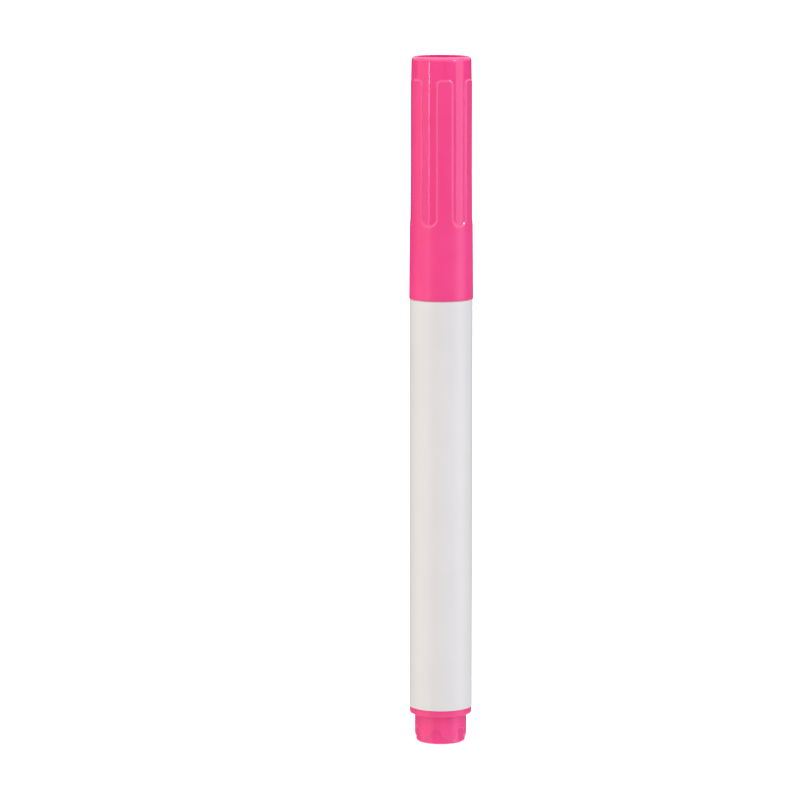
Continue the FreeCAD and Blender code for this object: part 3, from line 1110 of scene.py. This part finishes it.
@dataclass
class Cap:
    """The push-on cap: a fluted shell open at the top, and the seal cup inside it."""

    workshop: Workshop
    neck_top_r: float = 5.95 * MM
    floor_low_r: float = 6.08 * MM
    floor_high_r: float = 6.02 * MM
    skin_top_r: float = 6.19 * MM
    waist_r: float = 6.2 * MM
    bore_r: float = 5.25 * MM
    groove_r: float = 5.32 * MM
    upper_bore_r: float = 5.05 * MM
    top_bore_r: float = 4.95 * MM
    mouth_flare: float = 0.2 * MM
    groove_above_mouth: float = 3.7 * MM
    groove_width: float = 1.4 * MM
    step_above_mouth: float = 15.2 * MM
    lip_round: float = 0.84 * MM
    edge_round: float = 0.11 * MM
    waist_above_mouth: float = 25.2 * MM
    rib_top_above_mouth: float = 43.7 * MM
    flute_end_above_mouth: float = 14.8 * MM
    flute_count: int = 6
    flute_phase: float = math.radians(35.9)
    flute_width: float = 3.2 * MM
    rib_corner_r: float = 0.85 * MM
    wall_softness: float = 0.25 * MM
    fine_step: float = 0.1 * MM
    fine_before: float = 0.5 * MM
    fine_after: float = 0.4 * MM
    web_count: int = 4
    web_phase: float = math.radians(45)
    web_width: float = 0.9 * MM
    web_edge: float = 0.04 * MM
    web_grip: float = 0.02 * MM
    stop_r: float = 2.6 * MM
    stop_height: float = 1.4 * MM
    web_below_seal_lip: float = 2.0 * MM
    seal_wall: float = 0.62 * MM
    seal_roof: float = 0.9 * MM
    seal_round: float = 0.9 * MM
    seal_lip_round: float = 0.15 * MM
    gate_r: float = 1.0 * MM
    gate_floor_r: float = 0.8 * MM
    gate_depth: float = 0.15 * MM
    gate_round: float = 0.05 * MM

    def _shell_profile(self) -> Profile:
        """Outline of the shell with its skin carried up to just above the rib tops.

        Returns:
            The profile.
        """
        mouth_z, top_z = low_z("cap_shell"), high_z("cap_shell")
        rib_top = mouth_z + self.rib_top_above_mouth
        flute_end = mouth_z + self.flute_end_above_mouth
        above = rib_top + 2 * self.wall_softness
        groove = ring_bead(self.bore_r, self.groove_r, self.groove_width, mouth_z + self.groove_above_mouth)
        step_z = mouth_z + self.step_above_mouth
        step = self.bore_r - self.upper_bore_r
        corners = [
            Corner(self.bore_r + self.mouth_flare, mouth_z),
            Corner(outer_r("cap_shell"), mouth_z, self.edge_round),
            Corner(self.waist_r, mouth_z + self.waist_above_mouth),
            Corner(self.skin_top_r, above),
            Corner(self._floor_r(above), above),
            Corner(self.neck_top_r, top_z, self.lip_round),
            Corner(self.top_bore_r, top_z, self.edge_round),
            Corner(self.upper_bore_r, step_z),
            Corner(self.bore_r, step_z - step),
            *reversed(groove),
            Corner(self.bore_r, mouth_z + self.mouth_flare),
        ]
        flute_high = flute_end + self.flute_width / 2 + self.fine_after
        bands = [Band(flute_end - self.fine_before, flute_high, self.fine_step),
                 Band(rib_top - self.rib_corner_r - self.fine_before, above, self.fine_step)]
        margin = 2 * self.web_edge
        bands += [Band(height - margin, height + margin, self.web_edge) for height in self._web_heights()]
        return Profile(corners, bands=bands, arc_steps=10)

    def _web_heights(self) -> tuple[float, float, float]:
        """Where the webs start, where their stops start above the seal, and where both end.

        Returns:
            The three heights, from low to high.
        """
        seal_top = high_z("cap_inner_seal")
        return low_z("cap_inner_seal") - self.web_below_seal_lip, seal_top, seal_top + self.stop_height

    def _floor_r(self, height: float) -> float:
        """Radius of the polished surface that the flutes reach down to.

        Args:
            height: The height in metres.

        Returns:
            The radius.
        """
        mouth_z = low_z("cap_shell")
        low, high = mouth_z + self.flute_end_above_mouth, mouth_z + self.rib_top_above_mouth
        return self.floor_low_r + (self.floor_high_r - self.floor_low_r) * (height - low) / (high - low)

    def shell(self, material: bpy.types.Material) -> None:
        """Builds the fluted shell with its inner webs.

        Args:
            material: The shell's material.
        """
        rib_top = low_z("cap_shell") + self.rib_top_above_mouth
        flute_end = low_z("cap_shell") + self.flute_end_above_mouth
        mid_wall = (self.bore_r + self.neck_top_r) / 2
        piece = turned_piece("cap_fluted_shell", self._shell_profile(), RELIEF_COLUMNS, material)
        self.workshop.slots.apply(piece, material, {
            "Count": float(self.flute_count), "Phase": self.flute_phase, "Width": self.flute_width,
            "Closed End": flute_end, "Open End": rib_top,
            "Corner Radius": self.rib_corner_r, "Softness": self.wall_softness,
            "Direction": Opening.UP.value, "Least Radius": mid_wall,
            "Floor Low Z": flute_end, "Floor High Z": rib_top,
            "Floor Low R": self.floor_low_r, "Floor High R": self.floor_high_r,
        })
        low, stop_low, high = self._web_heights()
        web = {
            "Count": float(self.web_count), "Phase": self.web_phase, "Width": self.web_width,
            "Low": low, "High": high, "Crest Radius": outer_r("cap_inner_seal") - self.web_grip,
            "Most Radius": mid_wall, "Edge": self.web_edge,
        }
        self.workshop.bars.apply(piece, material, web)
        self.workshop.bars.apply(piece, material, {**web, "Low": stop_low, "Crest Radius": self.stop_r})
        finish_piece(piece, "cap_shell", Body.CAP)

    def seal(self, material: bpy.types.Material) -> None:
        """Builds the seal cup.

        Args:
            material: The cup's material.
        """
        low, top, r = low_z("cap_inner_seal"), high_z("cap_inner_seal"), outer_r("cap_inner_seal")
        inner, roof = r - self.seal_wall, top - self.seal_roof
        gate_floor = top - self.gate_depth
        corners = [
            Corner(inner, low, self.seal_lip_round), Corner(r, low, self.seal_lip_round),
            Corner(r, top, self.seal_round), Corner(self.gate_r, top),
            Corner(self.gate_floor_r, gate_floor, self.gate_round), Corner(0, gate_floor),
            Corner(0, roof), Corner(inner, roof, self.seal_round),
        ]
        piece = turned_piece("cap_seal_cup", Profile(corners, step=0.8 * MM), columns=128, material=material)
        finish_piece(piece, "cap_inner_seal", Body.CAP)

    def build(self, shell_material: bpy.types.Material, seal_material: bpy.types.Material) -> None:
        """Builds both pieces of the cap.

        Args:
            shell_material: The shell's material.
            seal_material: The seal's material.
        """
        self.shell(shell_material)
        self.seal(seal_material)


@dataclass
class Barrel:
    """The white tube with its stepped neck, and the nib holder pressed in it."""

    workshop: Workshop
    bore_r: float = 5.3 * MM
    neck_r: float = 5.12 * MM
    neck_bore_r: float = 4.3 * MM
    bead_r: float = 5.2 * MM
    bead_width: float = 1.4 * MM
    bead_above_shoulder: float = 3.75 * MM
    mouth_gap: float = 0.05 * MM
    edge_round: float = 0.15 * MM
    rim_round: float = 0.06 * MM
    shoulder_round: float = 0.08 * MM
    neck_mouth_round: float = 0.05 * MM
    bore_top_below_shoulder: float = 2.35 * MM
    taper_length: float = 1.0 * MM
    taper_round: float = 0.3 * MM
    rib_count: int = 6
    rib_width: float = 0.8 * MM
    rib_edge: float = 0.08 * MM
    rib_r: float = 4.26 * MM
    rib_low: float = 22.0 * MM
    wall_reach: float = 0.02 * MM
    holder_spigot_r: float = 4.28 * MM
    holder_bead_r: float = 4.33 * MM
    holder_bead_width: float = 0.9 * MM
    holder_beads: tuple[float, float] = (2.5 * MM, 5.5 * MM)
    holder_cavity_r: float = 3.4 * MM
    holder_cavity_length: float = 7.0 * MM
    holder_cavity_round: float = 0.3 * MM
    nib_seat_round: float = 0.1 * MM
    seat_round: float = 0.06 * MM
    collar_round: float = 0.2 * MM
    cone_foot_round: float = 0.12 * MM
    cone_r: float = 4.55 * MM
    nose_r: float = 2.35 * MM
    nose_length: float = 2.5 * MM
    collar_height: float = 1.2 * MM
    air_slot_count: int = 3
    air_slot_width: float = 0.5 * MM
    air_slot_edge: float = 0.03 * MM
    air_slot_r: float = 1.8 * MM

    def tube(self, material: bpy.types.Material) -> None:
        """Builds the barrel.

        Args:
            material: The barrel's material.
        """
        rear, top, r = low_z("barrel"), high_z("barrel"), outer_r("barrel")
        shoulder = low_z("cap_shell") - self.mouth_gap
        bore_top = shoulder - self.bore_top_below_shoulder
        corners = [
            Corner(self.bore_r, rear, self.edge_round), Corner(r, rear, self.rim_round),
            Corner(r, shoulder, self.edge_round), Corner(self.neck_r, shoulder, self.shoulder_round),
            *ring_bead(self.neck_r, self.bead_r, self.bead_width, shoulder + self.bead_above_shoulder),
            Corner(self.neck_r, top, self.edge_round), Corner(self.neck_bore_r, top, self.neck_mouth_round),
            Corner(self.neck_bore_r, bore_top + self.taper_length, self.taper_round),
            Corner(self.bore_r, bore_top, self.taper_round),
        ]
        edge = self.rib_edge
        profile = Profile(corners, step=2.5 * MM,
                          bands=[Band(self.rib_low - 2 * edge, self.rib_low + 2 * edge, edge)])
        piece = turned_piece("barrel_tube", profile, columns=256, material=material)
        self.workshop.bars.apply(piece, material, {
            "Count": float(self.rib_count), "Phase": 0.0, "Width": self.rib_width, "Low": self.rib_low,
            "High": bore_top - edge, "Crest Radius": self.rib_r,
            "Most Radius": self.bore_r + self.wall_reach, "Edge": edge,
        })
        finish_piece(piece, "barrel", Body.PEN)

    def holder(self, material: bpy.types.Material) -> None:
        """Builds the nib holder.

        Args:
            material: The holder's material.
        """
        low, top, neck_top = low_z("nib_holder"), high_z("nib_holder"), high_z("barrel")
        collar_top, nose_z = neck_top + self.collar_height, top - self.nose_length
        collar_r, nib_r = outer_r("nib_holder"), outer_r("nib")
        cavity_top = low + self.holder_cavity_length
        beads = [corner for above in self.holder_beads
                 for corner in ring_bead(self.holder_spigot_r, self.holder_bead_r, self.holder_bead_width,
                                         low + above)]
        corners = [
            Corner(self.holder_cavity_r, low), Corner(self.holder_spigot_r, low, self.edge_round), *beads,
            Corner(self.holder_spigot_r, neck_top), Corner(collar_r, neck_top, self.seat_round),
            Corner(collar_r, collar_top, self.collar_round),
            Corner(self.cone_r, collar_top, self.cone_foot_round),
            Corner(self.nose_r, nose_z, self.nose_r), Corner(self.nose_r, top, self.edge_round),
            Corner(nib_r, top, self.edge_round), Corner(nib_r, cavity_top, self.nib_seat_round),
            Corner(self.holder_cavity_r, cavity_top, self.holder_cavity_round),
        ]
        profile = Profile(corners, step=0.8 * MM)
        piece = turned_piece("nib_holder_cone", profile, columns=192, material=material)
        self.workshop.bars.apply(piece, material, {
            "Count": float(self.air_slot_count), "Phase": math.pi, "Width": self.air_slot_width,
            "Low": cavity_top, "High": top + self.collar_height, "Crest Radius": self.air_slot_r,
            "Most Radius": nib_r + self.wall_reach, "Edge": self.air_slot_edge,
        })
        finish_piece(piece, "nib_holder", Body.PEN)

    def build(self, barrel_material: bpy.types.Material, holder_material: bpy.types.Material) -> None:
        """Builds the barrel and the nib holder.

        Args:
            barrel_material: The barrel's material.
            holder_material: The holder's material.
        """
        self.tube(barrel_material)
        self.holder(holder_material)


@dataclass
class InkSystem:
    """The nib, the fibre reservoir in its film, and the breather tube."""

    workshop: Workshop
    tail_r: float = 1.0 * MM
    tail_round: float = 0.2 * MM
    tail_taper: float = 2.0 * MM
    taper_round: float = 1.0 * MM
    cone_length: float = 3.5 * MM
    tip_r: float = 0.5 * MM
    tip_round: float = 0.45 * MM
    ridge_depth: float = 0.05 * MM
    skin_depth: float = 0.1 * MM
    rod_round: float = 0.15 * MM
    nib_hole_round: float = 0.1 * MM
    film_wall: float = 0.08 * MM
    film_lap: float = math.radians(28)
    film_climb_share: float = 0.98
    film_sheet_share: float = 0.9
    film_steps: int = 120
    film_rows: int = 12
    tube_r: float = 0.6 * MM
    tube_bore_r: float = 0.4 * MM
    tube_round: float = 0.05 * MM
    groove_clearance: float = 0.03 * MM
    groove_edge: float = 0.05 * MM

    def nib(self, material: bpy.types.Material) -> None:
        """Builds the fibre tip.

        Args:
            material: The nib's material.
        """
        tail, tip, r = low_z("nib"), high_z("nib"), outer_r("nib")
        corners = [
            Corner(0, tail), Corner(self.tail_r, tail, self.tail_round),
            Corner(r, tail + self.tail_taper, self.taper_round),
            Corner(r, tip - self.cone_length, r), Corner(self.tip_r, tip, self.tip_round), Corner(0, tip),
        ]
        profile = Profile(corners, step=0.5 * MM, arc_steps=10)
        piece = turned_piece("fibre_nib", profile, columns=160, material=material)
        self.workshop.strands.apply(piece, material, {
            "Count": 1.0, "Phase": 0.0, "Width": 0.16 * MM, "Depth": self.ridge_depth,
            "Least Radius": self.skin_depth,
        })
        finish_piece(piece, "nib", Body.PEN)

    def _tube_axis(self) -> Vector:
        """Centre of the breather tube in plan.

        Returns:
            The point at height 0.
        """
        low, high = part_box("breather_tube")
        return Vector(((low.x + high.x) / 2, (low.y + high.y) / 2, 0))

    def reservoir(self, material: bpy.types.Material) -> None:
        """Builds the fibre rod with its nib hole and the groove for the breather tube.

        Args:
            material: The rod's material.
        """
        low, top, r = low_z("reservoir_core"), high_z("reservoir_core"), outer_r("reservoir_core")
        tail, nib_r = low_z("nib"), outer_r("nib")
        corners = [
            Corner(0, low), Corner(r, low, self.rod_round), Corner(r, top, self.rod_round),
            Corner(nib_r, top, self.nib_hole_round), Corner(nib_r, tail + self.tail_taper),
            Corner(self.tail_r, tail), Corner(0, tail),
        ]
        profile = Profile(corners, step=2.0 * MM)
        piece = turned_piece("reservoir_fibre_rod", profile, columns=240, material=material)
        self.workshop.strands.apply(piece, material, {
            "Count": 1.0, "Phase": 0.0, "Width": 0.4 * MM, "Depth": self.ridge_depth,
            "Least Radius": r - self.skin_depth,
        })
        axis = self._tube_axis()
        groove_r = self.tube_r + self.groove_clearance
        self.workshop.bars.apply(piece, material, {
            "Count": 1.0, "Phase": math.atan2(axis.x, -axis.y), "Width": 2 * groove_r,
            "Low": low - groove_r, "High": top + groove_r, "Crest Radius": axis.length - groove_r,
            "Most Radius": r + groove_r, "Edge": self.groove_edge,
        })
        finish_piece(piece, "reservoir_core", Body.PEN)

    def film(self, material: bpy.types.Material) -> None:
        """Builds the film wrap, whose ends lap over each other.

        Args:
            material: The film's material.
        """
        low, top, r = low_z("reservoir_film"), high_z("reservoir_film"), outer_r("reservoir_film")
        sheet = self.film_wall / 2
        steps, rows = self.film_steps, self.film_rows
        whole = 2 * math.pi + self.film_lap
        inner = []
        for index in range(steps + 1):
            turn = whole * index / steps
            inner.append((turn, r - self.film_wall + sheet * turn / whole * self.film_climb_share))
        outer = [(turn, base + sheet * self.film_sheet_share) for turn, base in reversed(inner)]
        section = [(math.sin(turn) * base, -math.cos(turn) * base) for turn, base in inner + outer]
        number = len(section)
        points = [(x, y, low + (top - low) * level / rows) for level in range(rows + 1) for x, y in section]
        faces = []
        for level in range(rows):
            for index in range(number):
                beside = (index + 1) % number
                below, above = level * number, (level + 1) * number
                faces.append((below + beside, below + index, above + index, above + beside))
        last = rows * number
        for index in range(steps):
            facing = number - 1 - index
            faces.append((index, index + 1, facing - 1, facing))
            faces.append((last + facing, last + facing - 1, last + index + 1, last + index))
        mesh = bpy.data.meshes.new("reservoir_film_wrap")
        mesh.from_pydata(points, [], faces)
        piece = new_piece("reservoir_film_wrap", mesh, material)
        finish_piece(piece, "reservoir_film", Body.PEN)

    def breather(self, material: bpy.types.Material) -> None:
        """Builds the breather tube.

        Args:
            material: The tube's material.
        """
        low, top = low_z("breather_tube"), high_z("breather_tube")
        ends = ((self.tube_bore_r, low), (self.tube_r, low), (self.tube_r, top), (self.tube_bore_r, top))
        corners = [Corner(r, z, self.tube_round) for r, z in ends]
        mesh = Profile(corners, step=4 * MM, arc_steps=3).mesh("breather_air_tube", 40)
        points = np.array([vertex.co for vertex in mesh.vertices]) + np.array(self._tube_axis())
        mesh.vertices.foreach_set("co", points.ravel())
        piece = new_piece("breather_air_tube", mesh, material)
        finish_piece(piece, "breather_tube", Body.PEN)

    def build(self, nib: bpy.types.Material, rod: bpy.types.Material, film: bpy.types.Material,
              tube: bpy.types.Material) -> None:
        """Builds the four pieces of the ink system.

        Args:
            nib: The nib's material.
            rod: The reservoir's material.
            film: The film's material.
            tube: The breather tube's material.
        """
        self.nib(nib)
        self.reservoir(rod)
        self.film(film)
        self.breather(tube)


@dataclass
class EndPlug:
    """The plug that closes the barrel: a flange, a tail ringed with arches and a hollow shank."""

    workshop: Workshop
    tail_r: float = 5.2 * MM
    floor_r: float = 4.9 * MM
    foot_round: float = 0.45 * MM
    curve_z: float = 1.7 * MM
    curve_round: float = 1.2 * MM
    tongue_low_z: float = 0.8 * MM
    tongue_low_r: float = 4.98 * MM
    tongue_corner_r: float = 1.45 * MM
    arch_count: int = 6
    arch_phase: float = math.radians(-9.8)
    arch_width: float = 2.2 * MM
    arch_top_z: float = 3.1 * MM
    wall_softness: float = 0.16 * MM
    flange_low: float = 5.75 * MM
    flange_round: float = 0.3 * MM
    rim_round: float = 0.05 * MM
    shank_r: float = 5.28 * MM
    shank_bead_r: float = 5.33 * MM
    shank_bore_r: float = 4.4 * MM
    plug_bore_r: float = 3.9 * MM
    plug_floor_z: float = 1.6 * MM
    dimple_r: float = 1.0 * MM
    dimple_depth: float = 0.3 * MM
    dimple_floor_round: float = 0.12 * MM
    dimple_rim_round: float = 0.08 * MM
    step_round: float = 0.1 * MM
    shank_round: float = 0.15 * MM
    ledge_round: float = 0.1 * MM
    plug_floor_round: float = 0.3 * MM
    shank_beads: tuple[float, float] = (2.5 * MM, 5.9 * MM)
    shank_bead_width: float = 1.2 * MM
    fine_step: float = 0.09 * MM
    fine_after: float = 0.4 * MM

    def build(self, material: bpy.types.Material) -> None:
        """Builds the plug.

        Args:
            material: The plug's material.
        """
        rim, top, rest = low_z("barrel"), high_z("end_plug"), low_z("reservoir_core")
        flange_r = outer_r("end_plug")
        beads = [corner for above in self.shank_beads
                 for corner in ring_bead(self.shank_r, self.shank_bead_r, self.shank_bead_width, rim + above)]
        below = self.tongue_low_z - 2 * self.wall_softness
        corners = [
            Corner(0, self.dimple_depth), Corner(self.dimple_r, self.dimple_depth, self.dimple_floor_round),
            Corner(self.dimple_r, 0, self.dimple_rim_round), Corner(self.floor_r, 0, self.foot_round),
            Corner(self.floor_r, below), Corner(self.tongue_low_r, below),
            Corner(self.tail_r, self.curve_z, self.curve_round),
            Corner(self.tail_r, self.flange_low, self.step_round),
            Corner(flange_r, self.flange_low, self.flange_round), Corner(flange_r, rim, self.rim_round),
            Corner(self.shank_r, rim), *beads,
            Corner(self.shank_r, top, self.shank_round), Corner(self.shank_bore_r, top, self.shank_round),
            Corner(self.shank_bore_r, rest), Corner(self.plug_bore_r, rest, self.ledge_round),
            Corner(self.plug_bore_r, self.plug_floor_z, self.plug_floor_round), Corner(0, self.plug_floor_z),
        ]
        bands = [Band(below, self.arch_top_z + self.fine_after, self.fine_step)]
        piece = turned_piece("arched_end_plug", Profile(corners, step=0.8 * MM, bands=bands), RELIEF_COLUMNS,
                             material)
        self.workshop.slots.apply(piece, material, {
            "Count": float(self.arch_count), "Phase": self.arch_phase, "Width": self.arch_width,
            "Closed End": self.arch_top_z, "Open End": self.tongue_low_z,
            "Corner Radius": self.tongue_corner_r, "Softness": self.wall_softness,
            "Direction": Opening.DOWN.value, "Least Radius": self.floor_r - self.foot_round / 2,
            "Floor Low Z": 0.0, "Floor High Z": self.arch_top_z,
            "Floor Low R": self.floor_r, "Floor High R": self.floor_r,
        })
        finish_piece(piece, "end_plug", Body.PEN)


# ---------------------------------------------------------------- studio


@dataclass(frozen=True)
class SoftLight:
    """A flat studio light that faces the pen, placed by its turn and rise round it.

    Its radiance is what a mirror would show of it. A glint shows in gloss only, and lights nothing.
    """

    name: str
    turn: float
    rise: float
    distance: float
    width: float
    tall: float
    radiance: float
    colour: Colour = (1.0, 1.0, 1.0)
    glint: bool = False

    def place(self, target: Vector) -> None:
        """Adds the light.

        Args:
            target: The point it faces.
        """
        data = bpy.data.lights.new(self.name, "AREA")
        data.shape = "RECTANGLE"
        data.size, data.size_y = self.width, self.tall
        data.energy = math.pi * self.radiance * self.width * self.tall
        data.color = self.colour
        light = bpy.data.objects.new(self.name, data)
        level = Vector((math.sin(self.turn), -math.cos(self.turn), 0)) * math.cos(self.rise)
        away = level + Vector((0, 0, math.sin(self.rise)))
        light.location = target + away * self.distance
        light.rotation_euler = (-away).to_track_quat("-Z", "Y").to_euler()
        light.visible_camera = False
        light.visible_diffuse = not self.glint
        bpy.context.scene.collection.objects.link(light)


@dataclass
class Studio:
    """The floor, the lights, the pale surround and the camera."""

    painter: Painter
    floor_size: float = 12.0
    sensor_mm: float = 36.0
    clip_start: float = 0.01
    clip_end: float = 50.0
    camera_side: float = -8.21 * MM
    camera_distance: float = 0.8399
    camera_height: float = 0.1855
    aim_height: float = 69.3 * MM
    lens_mm: float = 190.73
    sky: float = 1.0
    horizon: float = 0.35
    below: float = 0.95
    far_side: float = 0.25
    far_range: tuple[float, float] = (-0.2, 0.5)
    sky_range: tuple[float, float] = (0.06, 0.34)
    below_range: tuple[float, float] = (-0.45, -0.15)
    overhead_strength: float = 1.5
    overhead_angle: float = math.radians(80)
    lights: tuple[SoftLight, ...] = (
        SoftLight("right_softbox", math.radians(73), math.radians(6), 0.75, 0.46, 0.8, 1.5,
                  (0.86, 0.94, 1.0)),
        SoftLight("right_lamp", math.radians(52), math.radians(30), 0.9, 0.14, 0.14, 34.0, glint=True),
        SoftLight("left_panel", math.radians(-77), math.radians(4), 0.8, 0.82, 0.9, 0.6, (1.0, 0.84, 0.45)),
        SoftLight("left_strip", math.radians(-48), 0.0, 0.85, 0.045, 0.9, 4.5),
        SoftLight("left_strip_upper", math.radians(-48), math.radians(13.5), 0.85, 0.045, 0.4, 4.5),
    )

    def floor(self) -> None:
        """Adds the floor."""
        half = self.floor_size / 2
        mesh = bpy.data.meshes.new("studio_floor")
        mesh.from_pydata([(-half, -half, 0), (half, -half, 0), (half, half, 0), (-half, half, 0)], [],
                         [(0, 1, 2, 3)])
        floor = new_piece("studio_floor", mesh, StudioFloor("pale_floor").material(self.painter))
        floor.visible_glossy = floor.visible_diffuse = floor.visible_shadow = False

    def world(self) -> None:
        """Sets the pale surround, darker at the horizon and behind, so that the pen's sides stand out."""
        world = bpy.data.worlds.new("pale_surround")
        world.use_nodes = True
        graph = Graph(world.node_tree)
        direction = graph.add("ShaderNodeSeparateXYZ")
        graph.feed(direction.inputs[0], graph.add("ShaderNodeTexCoord").outputs["Generated"])
        rise = direction.outputs["Z"]
        depth = graph.remap(direction.outputs["Y"], *self.far_range, 1.0, self.far_side, smooth=True)
        band = graph.math("MULTIPLY", depth, self.horizon)
        upper = graph.remap(rise, *self.sky_range, band, self.sky, smooth=True)
        lower = graph.remap(rise, *self.below_range, self.below, band, smooth=True)
        background = world.node_tree.nodes["Background"]
        background.inputs["Color"].default_value = (1.0, 1.0, 1.0, 1.0)
        graph.feed(background.inputs["Strength"], graph.math("MAXIMUM", upper, lower))
        bpy.context.scene.world = world

    def overhead(self) -> None:
        """Adds the broad light from straight above, which whitens the floor evenly."""
        data = bpy.data.lights.new("overhead_bank", "SUN")
        data.energy, data.angle = self.overhead_strength, self.overhead_angle
        bpy.context.scene.collection.objects.link(bpy.data.objects.new("overhead_bank", data))

    def camera(self) -> None:
        """Adds the camera."""
        data = bpy.data.cameras.new("main_camera")
        data.sensor_width = self.sensor_mm
        data.lens = self.lens_mm
        data.clip_start, data.clip_end = self.clip_start, self.clip_end
        camera = bpy.data.objects.new("main_camera", data)
        spot = Vector((self.camera_side, -self.camera_distance, self.camera_height))
        aim = Vector((self.camera_side, 0.0, self.aim_height))
        camera.location = spot
        camera.rotation_euler = (aim - spot).to_track_quat("-Z", "Y").to_euler()
        bpy.context.scene.collection.objects.link(camera)
        bpy.context.scene.camera = camera

    def build(self) -> None:
        """Adds everything in the studio."""
        self.floor()
        self.world()
        self.overhead()
        target = Vector((0, 0, high_z("cap_shell") / 2))
        for light in self.lights:
            light.place(target)
        self.camera()
        bpy.context.scene.view_settings.view_transform = "Standard"


def main() -> None:
    """Builds the studio and every sub-assembly of the pen."""
    logging.basicConfig(level=logging.INFO, format="%(message)s")
    painter = Painter(Effects())
    workshop = Workshop(SlotTree(), BarTree(), StrandTree(), painter)
    Studio(painter).build()
    nose_z = high_z("nib_holder")
    pink = MouldedPlastic("pink_polypropylene", (0.91, 0.059, 0.268), (0.87, 0.049, 0.243), translucency=0.25)
    # The plug's edges get less of the painted highlight.
    plug = replace(pink, name="pink_plug_polypropylene", edge_share=0.1)
    white = MouldedPlastic("white_polypropylene", (0.745, 0.72, 0.727), (0.72, 0.696, 0.703), polished=0.34,
                           grain_depth=0.003 * MM)
    holder = MouldedPlastic("white_holder_plastic", (0.82, 0.81, 0.80), (0.78, 0.77, 0.765), polished=0.3,
                            edge_share=0.15, stain=(0.85, 0.25, 0.45), stain_from=nose_z - STAIN_REACH,
                            stain_to=nose_z + STAIN_REACH)
    seal = MouldedPlastic("natural_polyethylene", (0.82, 0.80, 0.77), (0.77, 0.75, 0.72), polished=0.45)
    tube = MouldedPlastic("breather_plastic", (0.80, 0.82, 0.84), (0.74, 0.77, 0.80), polished=0.3)
    nib = BondedFibre("dyed_nib_fibre", (0.90, 0.10, 0.30), (0.62, 0.03, 0.14), strand_scale=5200.0)
    rod = BondedFibre("inked_reservoir_fibre", (0.88, 0.16, 0.36), (0.66, 0.05, 0.18), strand_scale=2200.0)
    film = ClearFilm("clear_film", (0.92, 0.88, 0.90))
    Cap(workshop).build(pink.material(painter), seal.material(painter))
    Barrel(workshop).build(white.material(painter), holder.material(painter))
    InkSystem(workshop).build(nib.material(painter), rod.material(painter), film.material(painter),
                              tube.material(painter))
    EndPlug(workshop).build(plug.material(painter))


if __name__ == "__main__":
    main()
